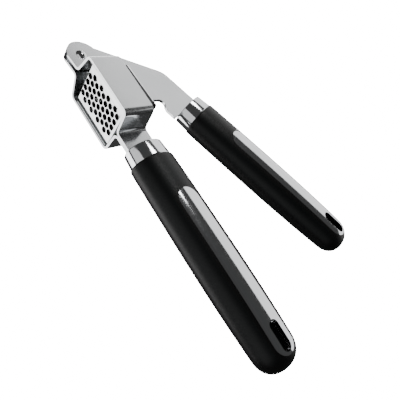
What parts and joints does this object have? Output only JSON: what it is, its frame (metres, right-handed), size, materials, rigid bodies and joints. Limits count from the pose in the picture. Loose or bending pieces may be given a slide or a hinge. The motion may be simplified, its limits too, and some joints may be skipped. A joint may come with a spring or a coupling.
{
  "type": "garlic press",
  "caption": "Hinged garlic press with a perforated steel chamber, a plunger on a cranked arm, chrome ferrules and rounded black grips with bright inlays and hanging slots.",
  "frame": {"origin": "centre of the pivot rivet, midway between the two ears", "axes": "+X from the pivot towards the lower handle's end, +Y the way the chamber opens and the upper arm lifts, +Z along the pivot axis"},
  "size_m": [0.1924, 0.112, 0.029],
  "materials": {
    "steel": "satin",
    "chrome": "polished",
    "core_plastic": "matte",
    "grip_plastic": "satin"
  },
  "bodies": {
    "lower_half": {"lower_plate_near": "steel", "lower_plate_far": "steel", "perforated_pan": "steel", "pivot_rivet": "chrome", "lower_tang_rivets": "steel", "lower_ferrule": "chrome", "lower_core": "core_plastic", "lower_grip": "grip_plastic", "lower_inlay_near": "chrome", "lower_inlay_far": "chrome"},
    "upper_half": {"upper_arm": "steel", "upper_tang_rivets": "steel", "upper_ferrule": "chrome", "upper_core": "core_plastic", "upper_grip": "grip_plastic", "upper_inlay_near": "chrome", "upper_inlay_far": "chrome"},
    "plunger": {"plunger_shell": "steel", "plunger_bracket": "steel", "plunger_pin": "chrome"}
  },
  "joints": [
    {"name": "arm_pivot", "type": "hinge", "parent": "lower_half", "child": "upper_half", "pos_m": [0, 0, 0], "axis": [0, 0, 1], "range_deg": [-21.7, 34]},
    {"name": "plunger_hinge", "type": "hinge", "parent": "upper_half", "child": "plunger", "pos_m": [0.02643, 0.01095, 0], "axis": [0, 0, 1], "range_deg": [-31, 20]}
  ],
  "couplings": [
    {"joint": "plunger_hinge", "follows": "arm_pivot", "ratio": -0.9}
  ]
}
